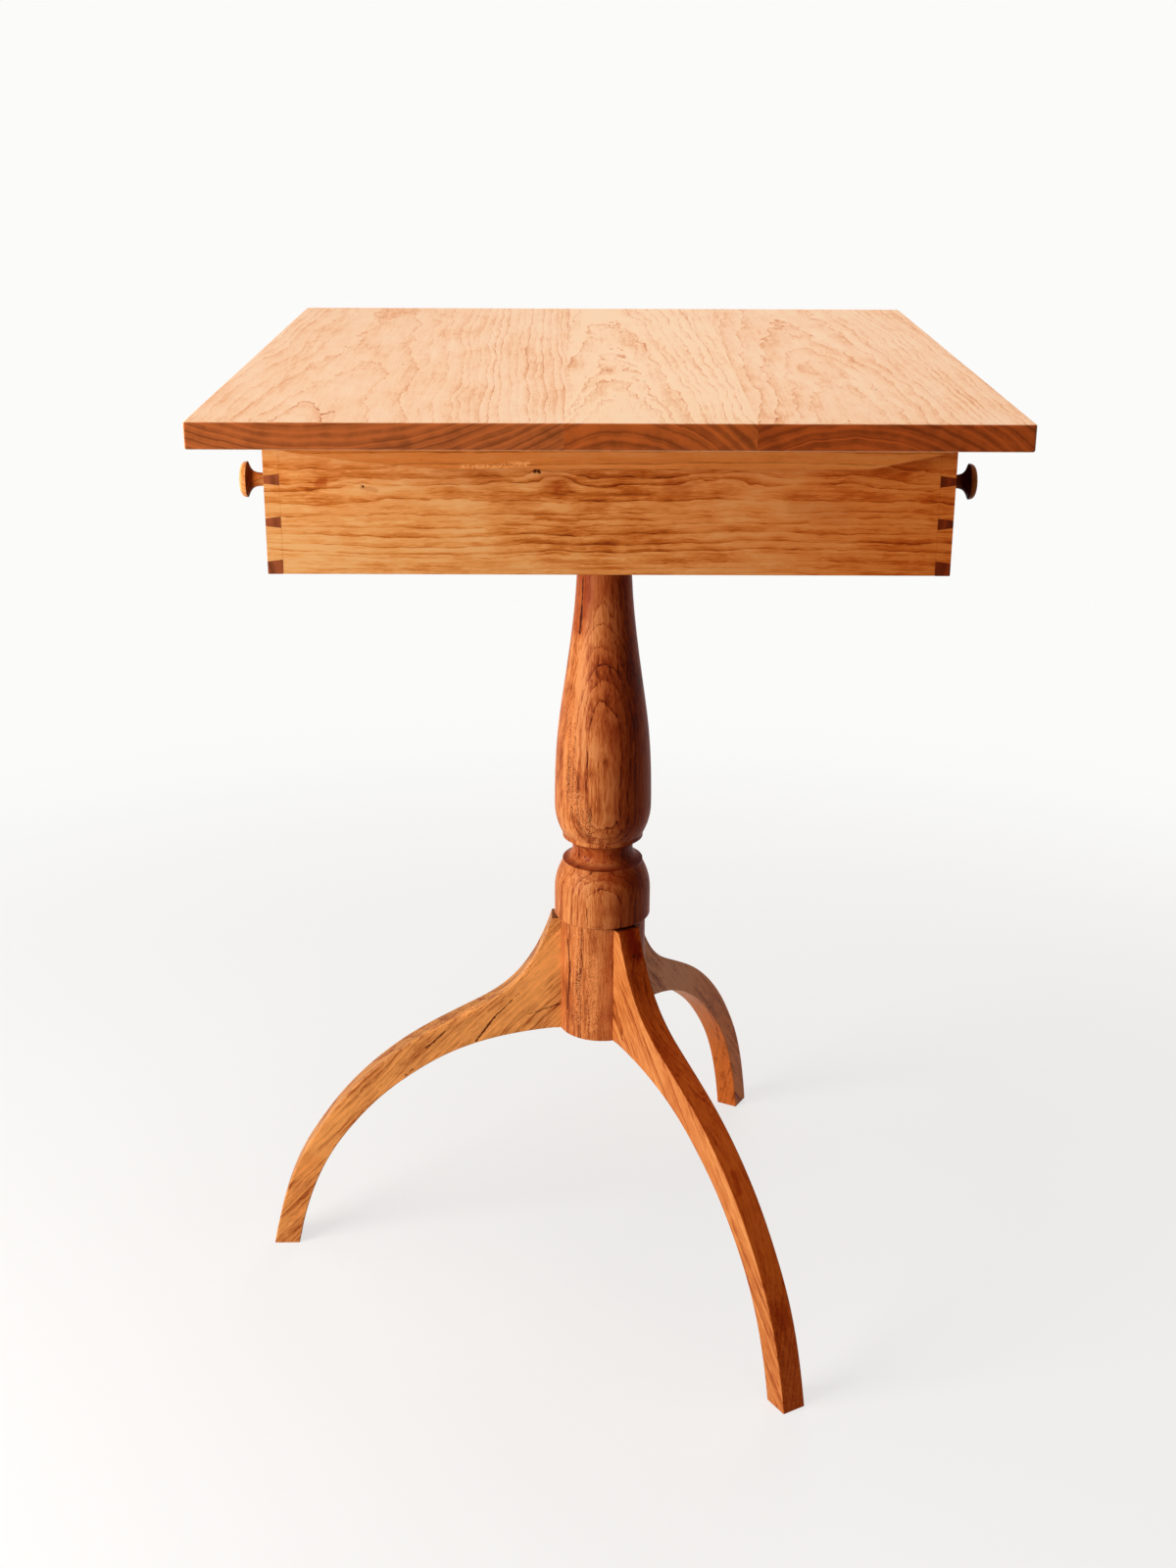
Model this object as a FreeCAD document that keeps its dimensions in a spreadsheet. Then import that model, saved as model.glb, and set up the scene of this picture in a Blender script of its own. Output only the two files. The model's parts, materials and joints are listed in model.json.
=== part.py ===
import FreeCAD, Part
import math
import os
from types import SimpleNamespace

import Sketcher

# Tripod sewing stand of cherry: three glued top boards on a turned column with
# three dovetailed legs, and two long drawers hung under the top, one each side
# of the column, that slide through to the left and to the right.
# Lengths are in millimetres and angles in degrees.
# X runs to the right along the drawers, Y to the back, Z up.
# The origin lies on the floor under the middle of the stand's overall plan.

VALUES = {
    # Whole stand
    "stand_height": 711.0,
    "leg_turn": 1.2,
    # Top, three boards glued edge to edge
    "left_board_width": 217.5,
    "middle_board_width": 111.0,
    "right_board_width": 159.5,
    "top_depth": 540.0,
    "top_thickness": 16.3,
    "top_arris_radius": 1.4,
    # Drawers
    "top_end_overhang": 34.75,
    "top_side_overhang": 55.0,
    "drawer_inner_offset": 60.0,
    "drawer_height": 85.8,
    "front_drawer_rest_shift": 0.75,
    "drawer_end_thickness": 9.5,
    "drawer_side_thickness": 9.5,
    "dovetail_flare": 0.65,
    "bottom_thickness": 5.0,
    "bottom_lift": 9.0,
    "groove_depth": 4.0,
    "groove_clearance": 0.2,
    "slide_strip_reach": 6.0,
    "slide_strip_height": 7.3,
    # Gaps of the drawers in their runners
    "drawer_top_gap": 0.8,
    "running_gap": 0.4,
    # Runners and centre cleat under the top
    "runner_end_setback": 4.25,
    "runner_thickness": 18.3,
    "runner_wall": 8.0,
    "runner_long_taper": 101.0,
    "runner_short_taper": 54.0,
    "runner_long_tip": 5.8,
    "runner_short_tip": 8.2,
    # Wood screws through runners and cleat into the top
    "screw_length": 30.0,
    "screw_shank_radius": 1.8,
    "screw_head_radius": 3.6,
    "screw_slot_width": 0.9,
    "screw_slot_depth": 0.8,
    "screw_clearance": 0.05,
    "screw_past_seam": 59.5,
    "cleat_screw_row_offset": 38.0,
    # Turned column
    "base_height": 193.4,
    "base_radius": 33.0,
    "base_length": 95.1,
    "collar_radius": 36.5,
    "collar_side": 20.5,
    "collar_edge_radius": 1.2,
    "collar_shoulder_rise": 22.0,
    "bead_radius": 30.4,
    "lower_fillet": 2.5,
    "cove_opening": 19.0,
    "neck_radius": 22.8,
    "upper_fillet": 3.0,
    "vase_foot_rise": 22.5,
    "vase_radius": 36.4,
    "vase_taper_height": 222.0,
    "column_top_radius": 19.1,
    "tenon_radius": 13.0,
    "tenon_clearance": 0.05,
    "tenon_end_gap": 0.4,
    "wedge_length": 15.0,
    "wedge_top_thickness": 2.6,
    "wedge_tip_thickness": 0.8,
    "wedge_width": 24.0,
    # Legs
    "leg_stock": 18.5,
    "leg_head_gap": 2.0,
    "leg_head_shelf": 5.8,
    "foot_reach": 264.5,
    "foot_width": 20.0,
    "leg_heel_flat": 2.0,
    "leg_arris_radius": 0.7,
    "key_depth": 13.0,
    "key_neck_width": 9.0,
    "key_root_width": 13.0,
    "key_clearance": 0.1,
    # Knobs
    "knob_projection": 27.3,
    "knob_head_radius": 11.45,
    "knob_rim_from_tip": 4.6,
    "knob_rim_thickness": 0.4,
    "knob_flare_length": 11.6,
    "knob_neck_radius": 4.2,
    "knob_base_radius": 5.0,
    "knob_base_length": 3.0,
    "knob_tenon_radius": 3.2,
    "knob_clearance": 0.05,
}

# Heights of the dovetail lines on the drawer sides, from the bottom edge up,
# as shares of the drawer height
pin_edge_shares = (0.099, 0.342, 0.410, 0.646, 0.715, 0.925)

# Control points of the leg's upper edge between its head and its foot:
# shares of the way out, and of the height of the head
leg_upper_shares = (
    (0.074, 0.813),
    (0.297, 0.718),
    (0.500, 0.634),
    (0.688, 0.508),
    (0.829, 0.366),
    (0.952, 0.197),
)

# Control points of the leg's lower edge between the column and the foot:
# shares of the way out, and of the height of the column's foot
leg_lower_shares = (
    (0.291, 0.968),
    (0.569, 0.792),
    (0.766, 0.594),
    (0.945, 0.309),
)

# Control points of the vase between its widest place and the slim upper
# column: shares of the fall in radius, and of the height of the taper
vase_shares = (
    (0.0, 0.201),
    (0.370, 0.400),
    (0.751, 0.599),
    (1.0, 0.799),
)

# Control points of a runner's tapered end, from its full thickness to its tip:
# shares of the taper's length, and of the fall in thickness
long_taper_shares = ((0.22, 0.14), (0.66, 0.36))
short_taper_shares = ((0.20, 0.02), (0.52, 0.55))

# Control points of the knob's domed face, from the rim to the tip:
# shares of the depth of the dome, and of the head's radius
dome_shares = ((0.42, 0.985), (0.82, 0.87), (1.0, 0.50))

# Control points of the knob's hollow flare, from the neck to the rim:
# shares of the flare's length, and of the growth in radius
flare_shares = ((0.44, 0.0), (0.72, 0.14), (0.88, 0.52))


class Size:
    """A size with its value and the sheet formula that gives it."""

    def __init__(self, value, text):
        self.value = value
        self.text = text

    def __add__(self, other):
        return joined(self, "+", other, self.value + value_of(other))

    def __radd__(self, other):
        return joined(other, "+", self, value_of(other) + self.value)

    def __sub__(self, other):
        return joined(self, "-", other, self.value - value_of(other))

    def __rsub__(self, other):
        return joined(other, "-", self, value_of(other) - self.value)

    def __mul__(self, other):
        return joined(self, "*", other, self.value * value_of(other))

    def __rmul__(self, other):
        return joined(other, "*", self, value_of(other) * self.value)

    def __truediv__(self, other):
        return joined(self, "/", other, self.value / value_of(other))

    def __neg__(self):
        return joined(0, "-", self, -self.value)


def value_of(item):
    return item.value if isinstance(item, Size) else item


def text_of(item):
    return item.text if isinstance(item, Size) else repr(item)


def joined(left, sign, right, value):
    return Size(value, f"({text_of(left)} {sign} {text_of(right)})")


def cosine(angle):
    return Size(math.cos(math.radians(angle.value)), f"cos({angle.text} * 1 deg)")


def sine(angle):
    return Size(math.sin(math.radians(angle.value)), f"sin({angle.text} * 1 deg)")


# The sheet of sizes

doc = FreeCAD.newDocument("SewingStand")
sheet = doc.addObject("Spreadsheet::Sheet", "Sizes")
for row, (name, value) in enumerate(VALUES.items(), start=1):
    sheet.set(f"A{row}", name)
    sheet.set(f"B{row}", str(value))
    sheet.setAlias(f"B{row}", name)
doc.recompute()
z = SimpleNamespace(**{name: Size(value, f"Sizes.{name}") for name, value in VALUES.items()})

nodes = []


def bind(item, prop, size):
    """Tie a property to the sheet, or set it where the size is a plain number."""
    if isinstance(size, Size):
        item.setExpression(prop, size.text)
    else:
        item.setExpression(prop, repr(size))


def place(item, x=0, y=0, up=0, turn=None):
    """Put a finished sub-part where it belongs in the stand."""
    bind(item, "Placement.Base.x", x)
    bind(item, "Placement.Base.y", y)
    bind(item, "Placement.Base.z", up)
    if turn is not None:
        item.Placement.Rotation = FreeCAD.Rotation(FreeCAD.Vector(0, 0, 1), 1)
        item.setExpression("Placement.Rotation.Angle", f"{text_of(turn)} * 1 deg")


def new_body(name):
    body = doc.addObject("PartDesign::Body", name)
    body.Label = name
    nodes.append(body)
    return body


def origin_part(body, role):
    for feature in body.Origin.OriginFeatures:
        if feature.Role == role:
            return feature
    raise ValueError(role)


def sketch_on(body, role, name, offset=None):
    """A sketch on one of the body's own origin planes, moved along its normal."""
    sketch = body.newObject("Sketcher::SketchObject", name)
    sketch.AttachmentSupport = [(origin_part(body, role), "")]
    sketch.MapMode = "FlatFace"
    if offset is not None:
        bind(sketch, "AttachmentOffset.Base.z", offset)
    return sketch


def pin_point(sketch, geometry, end, x, y):
    """Hold a point of the sketch at its two distances from the sketch's origin."""
    for kind, axis, size in (("DistanceX", -2, x), ("DistanceY", -1, y)):
        if value_of(size) == 0:
            sketch.addConstraint(Sketcher.Constraint("PointOnObject", geometry, end, axis))
        else:
            number = sketch.addConstraint(Sketcher.Constraint(kind, geometry, end, value_of(size)))
            sketch.setExpression(f"Constraints[{number}]", text_of(size))


def spot(point):
    return FreeCAD.Vector(value_of(point[0]), value_of(point[1]), 0)


def end_near(sketch, geometry, point):
    """Which end of a line, arc or spline lies at the point."""
    first = sketch.getPoint(geometry, 1).distanceToPoint(spot(point))
    second = sketch.getPoint(geometry, 2).distanceToPoint(spot(point))
    return 1 if first < second else 2


def outline(sketch, points, splines=None, arcs=None):
    """A closed outline through the points.

    splines gives the control points between a point and the next one, and arcs
    the centre of the arc there with the coordinate of it that is held.
    """
    splines = splines or {}
    arcs = arcs or {}
    made = []
    for index, point in enumerate(points):
        following = points[(index + 1) % len(points)]
        if index in splines:
            poles = [point] + list(splines[index]) + [following]
            inner = len(poles) - 4
            curve = Part.BSplineCurve()
            curve.buildFromPolesMultsKnots(
                [spot(pole) for pole in poles],
                mults=[4] + [1] * inner + [4],
                knots=list(range(inner + 2)),
                periodic=False,
                degree=3,
            )
            geometry = sketch.addGeometry(curve, False)
            first_pole = sketch.GeometryCount
            sketch.exposeInternalGeometry(geometry)
            for step, pole in enumerate(splines[index], start=1):
                pin_point(sketch, first_pole + step, 3, pole[0], pole[1])
        elif index in arcs:
            centre, held = arcs[index]
            radius = spot(centre).distanceToPoint(spot(point))
            middle = (spot(point) + spot(following)) * 0.5 - spot(centre)
            through = spot(centre) + middle.normalize() * radius
            geometry = sketch.addGeometry(Part.Arc(spot(point), through, spot(following)), False)
            size = centre[0] if held == "DistanceX" else centre[1]
            number = sketch.addConstraint(Sketcher.Constraint(held, geometry, 3, value_of(size)))
            sketch.setExpression(f"Constraints[{number}]", text_of(size))
        else:
            geometry = sketch.addGeometry(Part.LineSegment(spot(point), spot(following)), False)
        made.append(geometry)
    for index, point in enumerate(points):
        before = made[index - 1]
        here = made[index]
        end = end_near(sketch, here, point)
        sketch.addConstraint(
            Sketcher.Constraint("Coincident", before, end_near(sketch, before, point), here, end)
        )
        pin_point(sketch, here, end, point[0], point[1])


def rectangle(sketch, x1, y1, x2, y2):
    outline(sketch, [(x1, y1), (x2, y1), (x2, y2), (x1, y2)])


def circle(sketch, x, y, radius):
    geometry = sketch.addGeometry(Part.Circle(spot((x, y)), FreeCAD.Vector(0, 0, 1), radius.value), False)
    number = sketch.addConstraint(Sketcher.Constraint("Radius", geometry, radius.value))
    sketch.setExpression(f"Constraints[{number}]", radius.text)
    pin_point(sketch, geometry, 3, x, y)


def pad(body, sketch, length, name, symmetric=False):
    feature = body.newObject("PartDesign::Pad", name)
    feature.Profile = sketch
    if symmetric:
        feature.SideType = "Symmetric"
    bind(feature, "Length", length)
    return feature


def pocket(body, sketch, depth, name):
    """A cut to the same depth on both sides of the sketch, so that it can't miss."""
    feature = body.newObject("PartDesign::Pocket", name)
    feature.Profile = sketch
    feature.SideType = "Symmetric"
    bind(feature, "Length", 2 * depth)
    return feature


def turned(body, sketch, name, axis):
    feature = body.newObject("PartDesign::Revolution", name)
    feature.Profile = sketch
    feature.ReferenceAxis = (sketch, [axis])
    feature.Angle = 360
    return feature


def repeated(body, features, role, length, count, name):
    feature = body.newObject("PartDesign::LinearPattern", name)
    feature.Originals = features
    feature.Direction = (origin_part(body, role), [""])
    bind(feature, "Length", length)
    feature.Occurrences = count
    body.Tip = feature
    return feature


def rounded(body, base, radius, name, wanted):
    """Round the edges of a finished feature that the test picks."""
    doc.recompute()
    names = [f"Edge{index}" for index, edge in enumerate(base.Shape.Edges, start=1) if wanted(edge)]
    feature = body.newObject("PartDesign::Fillet", name)
    feature.Base = (base, names)
    bind(feature, "Radius", radius)
    return feature


def same(a, b):
    return abs(a - b) < tolerance


# Sizes that follow from others

tolerance = 1e-4
screw_count = 3
leg_count = 3
top_width = z.left_board_width + z.middle_board_width + z.right_board_width
left_edge = -top_width / 2
left_seam = left_edge + z.left_board_width
right_seam = left_seam + z.middle_board_width
right_edge = right_seam + z.right_board_width
underside = z.stand_height - z.top_thickness
column_x = (
    z.foot_reach * cosine(z.leg_turn) + z.leg_stock / 2 * sine(z.leg_turn) - top_width / 2
) / 2
drawer_bottom = underside - z.drawer_top_gap - z.drawer_height
drawer_length = top_width - 2 * z.top_end_overhang
drawer_face_offset = z.top_depth / 2 - z.top_side_overhang
drawer_width = drawer_face_offset - z.drawer_inner_offset
runner_length = drawer_length - 2 * z.runner_end_setback
runner_foot = underside - z.runner_thickness
rabbet_height = z.drawer_top_gap + z.slide_strip_height + z.running_gap
rabbet_depth = z.slide_strip_reach
runner_width = z.slide_strip_reach + z.runner_wall
runner_outer_offset = drawer_face_offset + z.running_gap + runner_width
cleat_half_width = z.drawer_inner_offset - z.running_gap
screw_row_offset = runner_outer_offset - z.runner_wall / 2
head_height = z.screw_head_radius - z.screw_shank_radius
bite_depth = z.screw_length - z.runner_thickness
screw_spacing = z.middle_board_width / 2 + z.screw_past_seam
middle_screw_x = left_seam + z.middle_board_width / 2
first_screw_x = middle_screw_x - screw_spacing
collar_height = z.base_height + z.base_length
leg_head_height = collar_height - z.leg_head_gap

# Top boards


def top_board(name, left, right, seams, screw_x):
    """One board of the top, with its outer arrises eased and its screw holes."""
    body = new_body(name)
    plan = sketch_on(body, "XY_Plane", name + "_plan")
    rectangle(plan, left, -z.top_depth / 2, right, z.top_depth / 2)
    slab = pad(body, plan, z.top_thickness, name + "_slab")

    def outer(edge):
        for seam in seams:
            if all(same(vertex.Point.x, seam.value) for vertex in edge.Vertexes):
                return False
        return True

    rounded(body, slab, z.top_arris_radius, name + "_arrises", outer)
    holes = sketch_on(body, "XY_Plane", name + "_holes")
    for y in (-screw_row_offset, -z.cleat_screw_row_offset, z.cleat_screw_row_offset, screw_row_offset):
        circle(holes, screw_x, y, z.screw_shank_radius + z.screw_clearance)
    pocket(body, holes, bite_depth + z.screw_clearance, name + "_bites")
    place(body, column_x, 0, underside)


top_board("top_board_left", left_edge, left_seam, [left_seam], first_screw_x)
top_board("top_board_middle", left_seam, right_seam, [left_seam, right_seam], middle_screw_x)
top_board("top_board_right", right_seam, right_edge, [right_seam], middle_screw_x + screw_spacing)

# Runners and centre cleat


def taper(start, end, length_share_table, thickness, tip):
    """Control points from full thickness at start to the tip at end."""
    return [
        (start + (end - start) * along, (thickness - tip) * fall)
        for along, fall in length_share_table
    ]


def runner(name, width, long_end, screw_rows, rabbets):
    """A strip under the top with tapered ends, rabbeted for the slide strips.

    Its own frame has the middle of its underside at the origin.
    """
    half = runner_length / 2
    if long_end:
        left_taper, left_tip, left_shares = z.runner_long_taper, z.runner_long_tip, long_taper_shares
    else:
        left_taper, left_tip, left_shares = z.runner_short_taper, z.runner_short_tip, short_taper_shares
    left_full = -half + left_taper
    right_full = half - z.runner_short_taper
    body = new_body(name)
    side = sketch_on(body, "XZ_Plane", name + "_side")
    points = [
        (left_full, 0),
        (right_full, 0),
        (half, z.runner_thickness - z.runner_short_tip),
        (half, z.runner_thickness),
        (-half, z.runner_thickness),
        (-half, z.runner_thickness - left_tip),
    ]
    right_curve = taper(right_full, half, short_taper_shares, z.runner_thickness, z.runner_short_tip)
    left_curve = taper(left_full, -half, left_shares, z.runner_thickness, left_tip)
    outline(side, points, splines={1: right_curve, 5: left_curve[::-1]})
    pad(body, side, width, name + "_strip", symmetric=True)
    ends = sketch_on(body, "YZ_Plane", name + "_rabbet")
    rabbet_floor = z.runner_thickness - rabbet_height
    for direction in rabbets:
        near = direction * (width / 2 - rabbet_depth)
        far = direction * (width / 2 + z.runner_wall)
        rectangle(ends, near, rabbet_floor, far, z.runner_thickness + z.runner_wall)
    pocket(body, ends, runner_length, name + "_rabbets")
    base = sketch_on(body, "XY_Plane", name + "_screw_places")
    for row in screw_rows:
        for step in range(screw_count):
            circle(base, first_screw_x + step * screw_spacing, row, z.screw_shank_radius)
    doc.recompute()
    holes = body.newObject("PartDesign::Hole", name + "_screw_holes")
    holes.Profile = base
    holes.DepthType = "ThroughAll"
    holes.ThreadType = "None"
    holes.HoleCutType = "Countersink"
    holes.HoleCutCustomValues = True
    bind(holes, "Diameter", 2 * (z.screw_shank_radius + z.screw_clearance))
    bind(holes, "HoleCutDiameter", 2 * (z.screw_head_radius + z.screw_clearance))
    holes.HoleCutCountersinkAngle = 90
    holes.Reversed = True
    return body


strip = runner("front_runner", runner_width, True, [-rabbet_depth / 2], [1])
place(strip, column_x, -(runner_outer_offset - runner_width / 2), runner_foot)
strip = runner("back_runner", runner_width, True, [rabbet_depth / 2], [-1])
place(strip, column_x, runner_outer_offset - runner_width / 2, runner_foot)
cleat_rows = [-z.cleat_screw_row_offset, z.cleat_screw_row_offset]
strip = runner("centre_cleat", 2 * cleat_half_width, False, cleat_rows, [-1, 1])
bore = sketch_on(strip, "XY_Plane", "centre_cleat_bore_place")
circle(bore, 0, 0, z.tenon_radius + z.tenon_clearance)
pocket(strip, bore, z.runner_thickness * 2, "centre_cleat_bore")
place(strip, column_x, 0, runner_foot)

# Screws


def screws(name, rows):
    """Countersunk slotted wood screws in rows of three, heads down."""
    body = new_body(name)
    half = sketch_on(body, "XZ_Plane", name + "_half")
    outline(
        half,
        [
            (0, 0),
            (z.screw_head_radius, 0),
            (z.screw_shank_radius, head_height),
            (z.screw_shank_radius, z.screw_length - z.screw_shank_radius),
            (0, z.screw_length),
        ],
    )
    shank = turned(body, half, name + "_shank", "V_Axis")
    cut = sketch_on(body, "XY_Plane", name + "_slot_plan")
    reach = z.screw_head_radius + z.screw_clearance
    rectangle(cut, -reach, -z.screw_slot_width / 2, reach, z.screw_slot_width / 2)
    slot = pocket(body, cut, z.screw_slot_depth, name + "_slot")
    pattern = repeated(
        body, [shank, slot], "X_Axis", screw_spacing * (screw_count - 1), screw_count, name + "_row"
    )
    if rows > 1:
        pattern.Direction2 = (origin_part(body, "Y_Axis"), [""])
        bind(pattern, "Length2", 2 * z.cleat_screw_row_offset)
        pattern.Occurrences2 = rows
    return body


group = screws("front_runner_screws", 1)
place(group, column_x + first_screw_x, -screw_row_offset, runner_foot)
group = screws("back_runner_screws", 1)
place(group, column_x + first_screw_x, screw_row_offset, runner_foot)
group = screws("cleat_screws", 2)
place(group, column_x + first_screw_x, -z.cleat_screw_row_offset, runner_foot)

# Column

body = new_body("column")
half = sketch_on(body, "XZ_Plane", "column_half")
collar_top = collar_height + z.collar_side
bead_foot = collar_top + z.collar_shoulder_rise
cove_foot = bead_foot + z.lower_fillet
cove_head = cove_foot + z.cove_opening
vase_foot = cove_head + z.upper_fillet
vase_wide = vase_foot + z.vase_foot_rise
vase_top = vase_wide + z.vase_taper_height
tenon_top = underside - z.tenon_end_gap
shoulder_step = z.collar_radius - z.bead_radius
shoulder_arc = (z.collar_shoulder_rise * z.collar_shoulder_rise / shoulder_step + shoulder_step) / 2
foot_step = z.vase_radius - z.bead_radius
foot_arc = (z.vase_foot_rise * z.vase_foot_rise / foot_step + foot_step) / 2
cove_depth = z.bead_radius - z.neck_radius
cove_arc = (z.cove_opening * z.cove_opening / cove_depth / 4 + cove_depth) / 2
radius_fall = z.vase_radius - z.column_top_radius
outline(
    half,
    [
        (0, z.base_height),
        (z.base_radius, z.base_height),
        (z.base_radius, collar_height),
        (z.collar_radius - z.collar_edge_radius, collar_height),
        (z.collar_radius, collar_height + z.collar_edge_radius),
        (z.collar_radius, collar_top),
        (z.bead_radius, bead_foot),
        (z.bead_radius, cove_foot),
        (z.bead_radius, cove_head),
        (z.bead_radius, vase_foot),
        (z.vase_radius, vase_wide),
        (z.column_top_radius, vase_top),
        (z.column_top_radius, runner_foot),
        (z.tenon_radius, runner_foot),
        (z.tenon_radius, tenon_top),
        (0, tenon_top),
    ],
    splines={
        10: [
            (z.vase_radius - radius_fall * fall, vase_wide + z.vase_taper_height * rise)
            for fall, rise in vase_shares
        ]
    },
    arcs={
        3: ((z.collar_radius - z.collar_edge_radius, collar_height + z.collar_edge_radius), "DistanceX"),
        5: ((z.collar_radius - shoulder_arc, collar_top), "DistanceY"),
        7: ((z.neck_radius + cove_arc, cove_foot + z.cove_opening / 2), "DistanceX"),
        9: ((z.vase_radius - foot_arc, vase_wide), "DistanceY"),
    },
)
turning = turned(body, half, "column_turning", "V_Axis")
doc.recompute()
key = sketch_on(body, "XY_Plane", "leg_socket_plan", z.base_height)
mouth = (z.key_neck_width + z.key_clearance * 2) / 2
root = (z.key_root_width + z.key_clearance * 2) / 2
root_x = z.base_radius - z.key_depth - z.key_clearance
mouth_x = z.base_radius + z.key_clearance
outline(key, [(-mouth_x, -mouth), (-mouth_x, mouth), (-root_x, root), (-root_x, -root)])
socket = pocket(body, key, collar_height - z.base_height, "leg_socket")
around = body.newObject("PartDesign::PolarPattern", "leg_sockets")
around.Originals = [socket]
around.Axis = (origin_part(body, "Z_Axis"), [""])
around.Angle = 360
around.Occurrences = leg_count
body.Tip = around
kerf = sketch_on(body, "XZ_Plane", "wedge_kerf_side")
kerf_foot = tenon_top - z.wedge_length
outline(
    kerf,
    [
        (-z.wedge_tip_thickness / 2, kerf_foot),
        (z.wedge_tip_thickness / 2, kerf_foot),
        (z.wedge_top_thickness / 2, tenon_top),
        (-z.wedge_top_thickness / 2, tenon_top),
    ],
)
pocket(body, kerf, z.tenon_radius * 2, "wedge_kerf")
place(body, column_x, 0, 0, turn=z.leg_turn)

body = new_body("tenon_wedge")
side = sketch_on(body, "XZ_Plane", "tenon_wedge_side")
outline(
    side,
    [
        (-z.wedge_tip_thickness / 2, 0),
        (z.wedge_tip_thickness / 2, 0),
        (z.wedge_top_thickness / 2, z.wedge_length),
        (-z.wedge_top_thickness / 2, z.wedge_length),
    ],
)
pad(body, side, z.wedge_width, "tenon_wedge_blank", symmetric=True)
place(body, column_x, 0, tenon_top - z.wedge_length, turn=z.leg_turn)

# Legs


def leg(name, turn):
    """A swept leg with a dovetail key, drawn along its own +X."""
    body = new_body(name)
    head_reach = z.base_radius + z.leg_head_shelf
    heel_reach = z.base_radius + z.leg_heel_flat
    inner_reach = z.base_radius - z.leg_stock / 2
    foot_inner = z.foot_reach - z.foot_width
    side = sketch_on(body, "XZ_Plane", name + "_side")
    upper = [
        (head_reach + (z.foot_reach - head_reach) * out, leg_head_height * rise)
        for out, rise in leg_upper_shares
    ]
    lower = [
        (heel_reach + (foot_inner - heel_reach) * out, z.base_height * rise)
        for out, rise in leg_lower_shares
    ]
    outline(
        side,
        [
            (inner_reach, z.base_height),
            (heel_reach, z.base_height),
            (foot_inner, 0),
            (z.foot_reach, 0),
            (head_reach, leg_head_height),
            (inner_reach, leg_head_height),
        ],
        splines={1: lower, 3: upper[::-1]},
    )
    blank = pad(body, side, z.leg_stock, name + "_blank", symmetric=True)

    def long_edge(edge):
        box = edge.BoundBox
        on_face = same(abs(box.YMin), z.leg_stock.value / 2) and same(box.YMin, box.YMax)
        return on_face and box.XMax > heel_reach.value + tolerance and box.ZLength > tolerance

    rounded(body, blank, z.leg_arris_radius, name + "_arrises", long_edge)
    floor = sketch_on(body, "XZ_Plane", name + "_floor")
    rectangle(floor, 0, -z.leg_stock, z.foot_reach + z.leg_stock, 0)
    pocket(body, floor, z.leg_stock, name + "_foot_trim")
    cope = sketch_on(body, "XY_Plane", name + "_cope_plan")
    circle(cope, 0, 0, z.base_radius)
    pocket(body, cope, z.stand_height, name + "_cope")
    key = sketch_on(body, "XY_Plane", name + "_key_plan", z.base_height)
    neck = z.key_neck_width / 2
    root = z.key_root_width / 2
    root_x = z.base_radius - z.key_depth
    neck_x = z.base_radius + z.leg_heel_flat / 2
    outline(
        key,
        [
            (root_x, -root),
            (z.base_radius, -neck),
            (neck_x, -neck),
            (neck_x, neck),
            (z.base_radius, neck),
            (root_x, root),
        ],
    )
    pad(body, key, leg_head_height - z.base_height, name + "_key")
    place(body, column_x, 0, 0, turn=turn)


leg("leg_left", 180 + z.leg_turn)
leg("leg_front", z.leg_turn - 360 / leg_count / 2)
leg("leg_back", z.leg_turn + 360 / leg_count / 2)

# Drawers


def pin_lines():
    """For each dovetail line its height at the end face and at the base line."""
    lines = []
    for index, share in enumerate(pin_edge_shares):
        level = z.drawer_height * share
        lean = z.dovetail_flare if index % 2 else -z.dovetail_flare
        lines.append((level + lean, level - lean))
    return lines


def drawer_side(name):
    """A long side with three tails at each end and a stopped groove inside.

    Its own frame has the middle of its lower edge at the origin, and its
    inner face towards +Y.
    """
    half = drawer_length / 2
    body = new_body(name)
    side = sketch_on(body, "XZ_Plane", name + "_side")
    base_line = half - z.drawer_end_thickness
    right = [(base_line, 0)]
    for index, (outer, inner) in enumerate(pin_lines()):
        pair = [(base_line, inner), (half, outer)]
        right += pair if index % 2 == 0 else pair[::-1]
    right.append((base_line, z.drawer_height))
    left = [(-x, y) for x, y in right]
    outline(side, right + left[::-1])
    pad(body, side, z.drawer_side_thickness, name + "_board", symmetric=True)
    groove = sketch_on(body, "XZ_Plane", name + "_groove_side", -z.drawer_side_thickness / 2)
    reach = base_line + z.groove_depth
    rectangle(
        groove,
        -reach,
        z.bottom_lift,
        reach,
        z.bottom_lift + z.bottom_thickness + 2 * z.groove_clearance,
    )
    pocket(body, groove, z.groove_depth, name + "_groove")
    return body


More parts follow.
